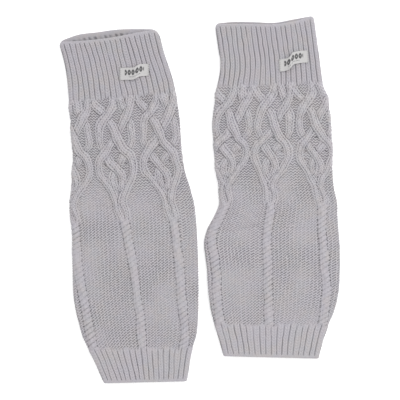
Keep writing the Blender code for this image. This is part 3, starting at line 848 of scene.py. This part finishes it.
def inner_rows(garment, start, end, open_top, open_foot):
    """Rows of the inside, closer together near an open edge, where they show, with their painted
    shade.
    """
    downs = list(rows_between(start, end, INNER_STEP)[:, 0])
    if open_top:
        downs = list(np.arange(start, MOUTH_SEEN, SEEN_STEP)) + [
            d for d in downs if d > MOUTH_SEEN + 2]
    if open_foot:
        downs = [d for d in downs if d < end - FOOT_SEEN - 2] + list(
            np.arange(end - FOOT_SEEN, end + 0.1, SEEN_STEP))
    down = np.array(downs)[:, None]
    around = section.around(garment.width(down))
    rib = np.cos(2 * math.pi * around * TOP_RIBS)
    near_edge = fade(MOUTH_SEEN - down, 0, MOUTH_SEEN / 2) * fade(
        down, EDGE_BAND - 1, EDGE_BAND + 1)
    depth = near_edge * np.sin(math.pi * (around % 1.0)) ** 0.5 * (section.front < 0.5)
    radius = INNER_RADIUS - INNER_RIB * rib * depth
    shadow_spots = SHADOW_SPOT_DARKNESS * (1 + lattice_noise(around, down + 0 * around, *SHADOW_SPOTS))
    # painted shadow spots in the valleys of the back's ribs, where the mouth shows the inside
    valley = depth * np.clip(0.4 - 0.6 * rib, 0, 1) * shadow_spots
    return with_painted_shading(place_rows(garment, down, radius), INSIDE_PAINTED_SHADE + valley), radius


# %% Rolling a flat grid into a closed wall


def flat_grid(name, columns, rows):
    """A grid primitive, and how far across and up each of its points is, from 0 to 1."""
    bpy.ops.object.select_all(action="DESELECT")
    bpy.ops.mesh.primitive_grid_add(x_subdivisions=columns - 1, y_subdivisions=rows - 1, size=2)
    piece = bpy.context.object
    piece.name = piece.data.name = name
    across, up, _ = (points_of(piece.data).T + 1) / 2
    return piece, across, up


def edit_all(operator, **settings):
    """An edit-mode operator on the whole mesh of the active piece."""
    bpy.ops.object.mode_set(mode="EDIT")
    bpy.ops.mesh.select_all(action="SELECT")
    operator(**settings)
    bpy.ops.object.mode_set(mode="OBJECT")


def wall_from_grid(name, grid):
    """A grid primitive whose points go to their places and whose meeting edges are merged."""
    rows, columns = grid.shape[:2]
    piece, across, up = flat_grid(name, columns, rows)
    i = np.rint(across * (columns - 1)).astype(int)
    j = np.rint(up * (rows - 1)).astype(int)
    piece.data.vertices.foreach_set("co", (grid[j, i, :3] * MM).ravel())
    # the painted shade and light of each point, which the wool's colour reads
    painted_shading = piece.data.attributes.new("painted_shading", "FLOAT", "POINT")
    painted_shading.data.foreach_set("value", grid[j, i, 3])
    edit_all(bpy.ops.mesh.remove_doubles, threshold=TINY * MM)
    return piece


def knit_stretch(garment, name, downs, heights, shades):
    """A closed wall of knitting over one solid, from the rows that belong to it."""
    open_top, open_foot = name == STRETCHES[0], name == STRETCHES[-1]
    outer = outer_radius(heights)
    # painted shade in hollows, painted light on crests, plus the painted shade and light of cuffs
    # and cables
    outside = with_painted_shading(place_rows(garment, downs, outer), painted_pit_and_crest_light(heights) + shades)
    inside, inner = inner_rows(garment, downs[0, 0], downs[-1, 0], open_top, open_foot)
    rows = [outside]
    if open_foot:
        rows.append(rim(garment, downs[-1, 0], outer[-1], inner[-1], 1))
    rows.append(inside[::-1])
    if open_top:
        rows.append(rim(garment, downs[0, 0], outer[0], inner[0], -1)[::-1])
    rows.append(outside[:1])
    grid = np.concatenate(rows)
    grid = np.concatenate([grid, grid[:, :1]], axis=1)
    return wall_from_grid(f"{garment.side}_{name}_knit", grid)


# %% Faces that point outwards
CRISP_EDGE = 80.0


def volume(piece):
    """The signed volume of a closed mesh in cubic metres: negative if it is inside out."""
    mesh = piece.data
    mesh.calc_loop_triangles()
    corners = np.empty(len(mesh.loop_triangles) * 3, int)
    mesh.loop_triangles.foreach_get("vertices", corners)
    a, b, c = points_of(mesh)[corners.reshape(-1, 3)].transpose(1, 0, 2)
    return (a * np.cross(b, c)).sum() / 6


def finish_piece(piece):
    """Faces pointing out, and smooth shading that keeps square edges crisp."""
    if volume(piece) < 0:
        edit_all(bpy.ops.mesh.flip_normals)
    bpy.ops.object.shade_smooth_by_angle(angle=math.radians(CRISP_EDGE))
    faces = len(piece.data.polygons)
    print(piece.name, faces * 2, "triangles,", round(volume(piece) * 1e9), "cubic mm")


# %% Knitting both garments
ROW_STEP = {"top_cuff": 0.8, "cable_band": 0.62, "leg": 0.62, "ankle_cuff": 0.8}

knitting = {}
for side, garment in garments.items():
    starts, downs = [0], [np.zeros((1, 1))]
    for name, start, end in zip(STRETCHES, garment.seams, garment.seams[1:]):
        rows = rows_between(start, end, ROW_STEP[name])
        downs.append(rows[1:])
        starts.append(starts[-1] + len(rows) - 1)
    down = np.vstack(downs)
    around = section.around(garment.width(down))
    heights, shades = stitches(garment, around, down + 0 * around)
    print(side, "heights from", heights.min().round(2), "to", heights.max().round(2))
    for k, name in enumerate(STRETCHES):
        part = slice(starts[k], starts[k + 1] + 1)
        piece = knit_stretch(garment, name, down[part], heights[part], shades[part])
        finish_piece(piece)
        knitting[side, name] = piece

# %% [markdown]
# ## The woven labels
#
# A small woven ribbon is sewn to the front of each top cuff by its two ends, and it buckles in
# the middle because the knitting under it has shrunk a little. It starts as a grid, the finest
# way to bend a ribbon, and its points follow a table of the folds: how far along, how far the
# ribbon has shifted up the leg, and how far it stands off the ribs. Solidify then gives it its
# thickness.

# %% The ribbon and its folds
LABEL_WIDTH = 14.6
LABEL_LENGTH = 35.0
LABEL_THICKNESS = 0.5
LABEL_GAP = 0.15
LABEL_CURL = 0.25
LABEL_STEPS = (80, 30)
LABELS = {
    "left": {
        "corner": (-96, 157.5), "turn": 0,
        # along, shift, lift
        "folds": [(0, 0, 0), (4, 0, 0), (9, 0.2, 0.5), (14, 0.2, 1.2),
                  (17.5, 0.6, 2.2), (19.5, 1.8, 2.6), (21.5, 3.2, 1.2), (25, 4.4, 0.5),
                  (30, 4.8, 0), (35, 5, 0)],
    },
    "right": {
        "corner": (94.5, 167.5), "turn": 2,
        "folds": [(0, 0, 0), (4, 0.2, 0), (8, 0.8, 0.8), (11, 1.6, 2.2),
                  (13, 3.2, 3.4), (14.8, 5.6, 2.8), (16.5, 7.6, 1.2), (21, 8.8, 0.6),
                  (28, 9.6, 0), (35, 9.6, 0)],
    },
}
RIB_TOP = 2 * HALF_HEIGHT + RIB_HEIGHT


def on_label(spec, along, side):
    """A point of the ribbon's underside: along it, and side from its top edge to its foot."""
    places, shifts, lifts = np.array(spec["folds"]).T
    shift, lift = [curve_through(places, values, along) for values in (shifts, lifts)]
    turn = math.radians(spec["turn"])
    up = shift - LABEL_WIDTH * side
    x = spec["corner"][0] + along * math.cos(turn) - up * math.sin(turn)
    y = spec["corner"][1] + along * math.sin(turn) + up * math.cos(turn)
    curl = LABEL_CURL * (2 * side - 1) ** 4
    return np.stack([x, y, RIB_TOP + LABEL_GAP + lift + curl], axis=-1)


def woven_ribbon(side, spec):
    steps_along, steps_across = LABEL_STEPS
    ribbon, across, up = flat_grid(f"{side}_woven_label", steps_along + 1, steps_across + 1)
    points = on_label(spec, across * LABEL_LENGTH, 1 - up)
    ribbon.data.vertices.foreach_set("co", (points * MM).ravel())
    wall = ribbon.modifiers.new("thickness", "SOLIDIFY")
    wall.thickness = LABEL_THICKNESS * MM
    wall.offset = 1.0
    bpy.ops.object.modifier_apply(modifier=wall.name)
    finish_piece(ribbon)
    return ribbon


ribbons = {side: woven_ribbon(side, spec) for side, spec in LABELS.items()}

# %% [markdown]
# ## The sewing
#
# Each end of a label is held by a short row of overcast stitches. One stitch is a thin thread
# that goes over the end of the ribbon and down into the rib. It is modelled once, as a small ring
# half sunk into the rib, and copied along both ends. The copies are joined, because they are one
# thread.

# %% Overcast stitches at both ends
THREAD_RADIUS = 0.22
THREAD_STEPS = (14, 8)
THREAD_LIFT = 0.1
STITCH_SPAN = 0.9
STITCH_SLANT = 18.0
STITCHES_AT_END = 6
END_INSET = 0.6


def sewing(side, spec):
    bpy.ops.object.select_all(action="DESELECT")
    bpy.ops.mesh.primitive_torus_add(
        major_segments=THREAD_STEPS[0], minor_segments=THREAD_STEPS[1],
        major_radius=STITCH_SPAN * MM, minor_radius=THREAD_RADIUS * MM,
        rotation=(math.pi / 2, 0, math.radians(spec["turn"] + STITCH_SLANT)))
    places = [(along, (k + 0.5) / STITCHES_AT_END)
              for along in (END_INSET, LABEL_LENGTH - END_INSET) for k in range(STITCHES_AT_END)]
    copies = [bpy.context.object]
    while len(copies) < len(places):
        bpy.ops.object.duplicate()
        copies.append(bpy.context.object)
    for copy, (along, across) in zip(copies, places):
        x, y, z = on_label(spec, np.array(along), np.array(across))
        copy.location = (x * MM, y * MM, (z + THREAD_LIFT) * MM)
        copy.select_set(True)
    bpy.context.view_layer.objects.active = copies[0]
    bpy.ops.object.join()
    bpy.ops.object.transform_apply()
    thread = bpy.context.object
    thread.name = thread.data.name = f"{side}_label_sewing"
    finish_piece(thread)
    return thread


threads = {side: sewing(side, spec) for side, spec in LABELS.items()}

# %% [markdown]
# ## Writing a finish
#
# A finish is sums on numbers that change over the surface. Written as node after node it is hard
# to read, so a small class wraps a socket and lets Python's own signs add the Math nodes. Every
# other node comes from one method of the finish.

# %% Sums on sockets


class Value:
    """A number that changes over the surface: the output socket of a node."""

    def __init__(self, finish, socket):
        self.finish, self.socket = finish, socket

    def math(self, operation, *others, clamp=False):
        return self.finish.node("Math", {"operation": operation, "use_clamp": clamp},
                                {k: v for k, v in enumerate((self,) + others)})

    def __add__(self, other):
        return self.math("ADD", other)

    def __sub__(self, other):
        return self.math("SUBTRACT", other)

    def __rsub__(self, other):
        return self.math("MULTIPLY", -1.0).math("ADD", other)

    def __mul__(self, other):
        return self.math("MULTIPLY", other)

    def __pow__(self, other):
        return self.math("POWER", other)

    def __abs__(self):
        return self.math("ABSOLUTE")

    __radd__, __rmul__ = __add__, __mul__

    def between(self, low, high):
        """0 below the low value, 1 above the high one, and a soft slope between."""
        return self.finish.node("MapRange", {"interpolation_type": "SMOOTHSTEP"},
                                {"Value": self, "From Min": low, "From Max": high}, "Result")


class Finish:
    """A material under construction."""

    def __init__(self, name):
        self.material = bpy.data.materials.new(name)
        self.material.use_nodes = True
        self.tree = self.material.node_tree
        self.tree.nodes.clear()

    def node(self, kind, settings=None, sockets=None, output=0):
        made = self.tree.nodes.new("ShaderNode" + kind)
        for key, value in (settings or {}).items():
            setattr(made, key, value)
        for key, value in (sockets or {}).items():
            if isinstance(value, Value):
                self.tree.links.new(value.socket, made.inputs[key])
            else:
                made.inputs[key].default_value = value
        return Value(self, made.outputs[output]) if len(made.outputs) else None

    def mix(self, factor, first, second):
        """Two colours mixed; the colour sockets of a Mix node are its seventh and eighth."""
        first, second = [c if isinstance(c, Value) else tuple(c) + (1.0,)
                         for c in (first, second)]
        return self.node("Mix", {"data_type": "RGBA"}, {0: factor, 6: first, 7: second}, 2)

    def noise(self, coordinate, size_mm, detail, roughness):
        """Noise whose features are about so many millimetres wide, from 0 to 1."""
        return self.node("TexNoise", None, {"Vector": coordinate, "Scale": 1 / (size_mm * MM),
                                            "Detail": detail, "Roughness": roughness})

    def close(self, sockets):
        shader = self.node("BsdfPrincipled", None, sockets)
        self.node("OutputMaterial", None, {"Surface": shader})
        return self.material


# %% [markdown]
# ## Heather wool
#
# The yarn is spun from fibres dyed in slightly different greys, so the cloth mottles softly
# between a cool lilac and a warmer beige, in patches three to eight stitches wide, with lighter
# and darker flecks of single fibres. Hollows between stitches get painted shade, and crests and
# cables a painted highlight, both read from each point's painted shading number. A nap of fine
# loose fibres blurs every stitch: that is the sheen, and the fine bump.

# %% The wool's colours and nap
COOL_WOOL = (0.310, 0.303, 0.324)
WARM_WOOL = (0.328, 0.306, 0.314)
LILAC_WOOL = (0.321, 0.298, 0.350)
# the pale of single fibres, and also the painted highlight on crests and cables
PALE_FLECK_AND_HIGHLIGHT = (0.48, 0.465, 0.475)
DARK_FLECK = (0.20, 0.195, 0.208)
# the colour of the painted shade in hollows
PAINTED_PIT_SHADE = (0.10, 0.097, 0.104)
# width in millimetres, detail and roughness of each pattern
PATCHES = (11.0, 3.0, 0.6)
BLEND = (26.0, 1.5, 0.5)
FLECKS = (1.3, 2.0, 0.6)
FIBRES = (0.35, 3.0, 0.7)
NAP_DEPTH = 0.25


def heather_wool():
    wool = Finish("heather_wool")
    place = wool.node("TexCoord", None, None, "Object")
    painted_shading = wool.node("Attribute", {"attribute_name": "painted_shading"}, None, "Fac")
    drawn = wool.node("Mapping", None, {"Vector": place, "Scale": (1.0, 0.35, 1.0),
                                        "Rotation": (0.0, 0.0, 0.5)})
    patches, blend, flecks = [wool.noise(place, *pattern) for pattern in (PATCHES, BLEND, FLECKS)]
    fibres = wool.noise(drawn, *FIBRES)
    colour = wool.mix(patches.between(0.38, 0.62), COOL_WOOL, WARM_WOOL)
    for share, tint in (
            (blend.between(0.36, 0.64) * 0.4, LILAC_WOOL),
            (flecks.between(0.56, 0.74) * 0.45, PALE_FLECK_AND_HIGHLIGHT),
            (flecks.between(0.44, 0.28) * 0.35, DARK_FLECK),
            (fibres.between(0.35, 0.7) * 0.22, PALE_FLECK_AND_HIGHLIGHT),
            # painted highlight on crests and cables, then painted shade in the hollows
            (painted_shading.between(0.0, -0.7) * 0.5, PALE_FLECK_AND_HIGHLIGHT),
            (painted_shading.between(0.0, 0.9) * 0.8, PAINTED_PIT_SHADE)):
        colour = wool.mix(share, colour, tint)
    nap = wool.node("Bump", None, {"Strength": 0.5, "Distance": NAP_DEPTH * MM,
                                   "Height": fibres + flecks * 0.6})
    return wool.close({"Base Color": colour, "Roughness": fibres * 0.1 + 0.86, "Normal": nap,
                       "Sheen Weight": 0.25, "Sheen Roughness": 0.5,
                       "Specular IOR Level": 0.2})


# %% [markdown]
# ## The woven label
#
# A label is woven in fine satin, pale, with a faint shine across its threads. The border woven
# into it is a row of lozenges with a dotted line beneath, dark on light, drawn in the ribbon's
# own coordinates so that it bends with the folds.

# %% The ribbon's weave and border
RIBBON = (0.44, 0.432, 0.43)
RIBBON_SHADE = (0.37, 0.363, 0.363)
DARK_THREAD = (0.02, 0.02, 0.022)
WEAVE = 0.42
# width of a lozenge's cell, its height, how slim it is, and how round its sides are
LOZENGE_CELL, LOZENGE_TALL, LOZENGE_SLIM, LOZENGE_ROUND = 4.6, 7.2, 2.15, 1.7
# half the length of each row, and its height as a part of the ribbon's width
LOZENGE_ROW, LOZENGE_HEIGHT = 11.4, 0.60
DOT_ROW, DOT_HEIGHT = 6.8, 0.24
DOTS_TO_A_LOZENGE = 2.6
ROW_END = 0.2


def woven_label():
    ribbon = Finish("woven_label")
    on_ribbon = {"Vector": ribbon.node("UVMap", {"uv_map": "UVMap"})}
    along = ribbon.node("SeparateXYZ", None, on_ribbon, "X") * LABEL_LENGTH
    up = ribbon.node("SeparateXYZ", None, on_ribbon, "Y") * LABEL_WIDTH
    warp, weft = [(run * (2 * math.pi / WEAVE)).math("SINE") for run in (along, up)]
    weave = warp * weft
    cell = (along * (1 / LOZENGE_CELL)).math("FRACT") - 0.5
    high = abs(up - LABEL_WIDTH * LOZENGE_HEIGHT) * (2 / LOZENGE_TALL)
    lozenge = (abs(cell) * LOZENGE_SLIM) ** LOZENGE_ROUND + high ** LOZENGE_ROUND
    inside = lozenge.between(1.0, 0.9) * lozenge.between(0.04, 0.09)
    dots = abs((along * (DOTS_TO_A_LOZENGE / LOZENGE_CELL)).math("FRACT") - 0.5) * 2 + abs(
        up - LABEL_WIDTH * DOT_HEIGHT) * 1.1
    middle = abs(along - LABEL_LENGTH / 2)
    border = inside * middle.between(LOZENGE_ROW + ROW_END, LOZENGE_ROW - ROW_END)
    border = border + dots.between(0.8, 0.6) * middle.between(DOT_ROW + ROW_END, DOT_ROW - ROW_END)
    colour = ribbon.mix(weave.between(-0.6, 1.0), RIBBON_SHADE, RIBBON)
    colour = ribbon.mix(border.math("MULTIPLY", 0.9, clamp=True), colour, DARK_THREAD)
    bump = ribbon.node("Bump", None, {"Strength": 0.35, "Distance": 0.1 * MM, "Height": weave})
    return ribbon.close({"Base Color": colour, "Roughness": weave * 0.08 + 0.55, "Normal": bump,
                         "Sheen Weight": 0.1})


# %% Giving each piece its finish
wool, ribbon_weave = heather_wool(), woven_label()
for piece in list(knitting.values()) + list(ribbons.values()) + list(threads.values()):
    piece.data.materials.append(wool if piece in knitting.values() else ribbon_weave)
for finish in (wool, ribbon_weave):
    print(finish.name, "has", len(finish.node_tree.nodes), "nodes")

# %% [markdown]
# ## Joining the looks to the model
#
# Every piece rides on the model's one body, and the solid that it stands for is hidden. For the
# knitting, the size of each piece when it is opened out flat is printed: all the way round by its
# length.

for (side, name), piece in knitting.items():
    garment = garments[side]
    k = STRETCHES.index(name)
    start, end = garment.seams[k], garment.seams[k + 1]
    middle = garment.width((start + end) / 2)
    around = 2 * (middle - 2 * HALF_HEIGHT) + 2 * math.pi * HALF_HEIGHT
    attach(piece, "root")
    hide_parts(f"{side}_{name}")
    print(piece.name, "opens out to", round(around), "by", round(end - start), "mm")

for side, piece in ribbons.items():
    thread = threads[side]
    for part in (piece, thread):
        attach(part, "root")
    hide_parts(f"{side}_label")

# %% [markdown]
# ## The table top and the light
#
# The pair lies on a plain white light table, which keeps the surface free of shadows, with light
# from all round and one large soft lamp high at the upper right, which puts a soft shade on the
# left side of every rib and cable.

# %% Surface and lamps
FLOOR_SIZE = 8.0
FLOOR_DROP = 0.0002
GLOW = 0.2
SKY = 1.13
LAMP_PLACE = (1.3, 1.2, 2.0)
LAMP_SIZE = 1.4
LAMP_POWER = 36.0

bpy.ops.object.select_all(action="DESELECT")
bpy.ops.mesh.primitive_plane_add(size=FLOOR_SIZE, location=(0, 0, -FLOOR_DROP))
floor = bpy.context.object
floor.name = floor.data.name = "table_top"
paper = Finish("white_paper")
floor.data.materials.append(paper.close({
    "Base Color": (0.93, 0.93, 0.93, 1.0), "Roughness": 0.9, "Specular IOR Level": 0.1,
    "Emission Color": (1.0, 1.0, 1.0, 1.0), "Emission Strength": GLOW}))
floor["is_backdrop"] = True

world = bpy.data.worlds.new("studio")
world.use_nodes = True
sky = world.node_tree.nodes["Background"]
sky.inputs["Color"].default_value = (1.0, 1.0, 1.0, 1.0)
sky.inputs["Strength"].default_value = SKY
bpy.context.scene.world = world
bpy.context.scene.view_settings.view_transform = "Standard"

lamp = bpy.data.lights.new("softbox", "AREA")
lamp.shape = "DISK"
lamp.size = LAMP_SIZE
lamp.energy = LAMP_POWER
softbox = bpy.data.objects.new("softbox", lamp)
softbox.location = LAMP_PLACE
softbox.rotation_euler = (-softbox.location).to_track_quat("-Z", "Y").to_euler()
bpy.context.scene.collection.objects.link(softbox)
print("the lamp stands", round(softbox.location.length, 1), "m away")

# %% [markdown]
# ## The size of the solids and of the dressed model
#
# The wool stands a millimetre or two proud of the solids, so both boxes are printed side by side.
# The dressed model has to keep the size of the solids, but for the millimetre or two that wool
# stands proud.

# %% Both boxes, and the end
boxes = {"solids": solid_box, "dressed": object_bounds()}
for name, (low, high) in boxes.items():
    print(name, [round((b - a) / MM, 1) for a, b in zip(low, high)], "mm")
